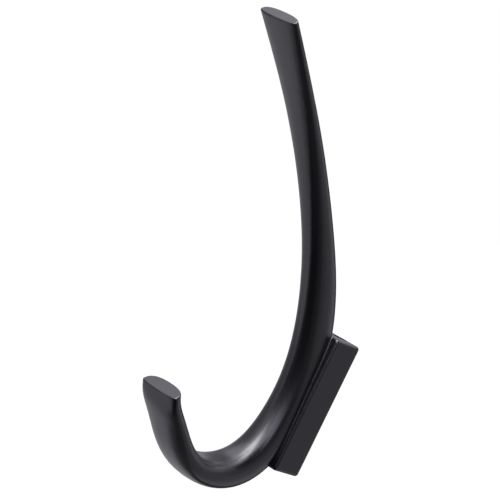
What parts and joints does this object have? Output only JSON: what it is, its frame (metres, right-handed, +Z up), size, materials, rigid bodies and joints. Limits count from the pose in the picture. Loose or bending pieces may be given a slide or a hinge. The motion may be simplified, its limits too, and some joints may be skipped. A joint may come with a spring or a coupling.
{
  "type": "towel hook",
  "caption": "Wall hook of oval section with a long upper arm and a short upturned lower hook, cast on an upright block that a set screw holds on a hidden wall plate.",
  "frame": {"origin": "middle of the block's face on the wall", "axes": "+Z up the wall, +Y into the wall, so the hook stands out towards -Y; x = 0 is the plane of symmetry"},
  "size_m": [0.0154, 0.0904, 0.135],
  "materials": {
    "black_powder_coat": "matt black powder coat on a zinc die casting",
    "zinc_plated_steel": "bright zinc plating",
    "black_oxide_steel": "black oxide"
  },
  "bodies": {
    "root": {"hook_body": "black_powder_coat", "wall_plate": "zinc_plated_steel", "set_screw": "black_oxide_steel"}
  },
  "joints": []
}
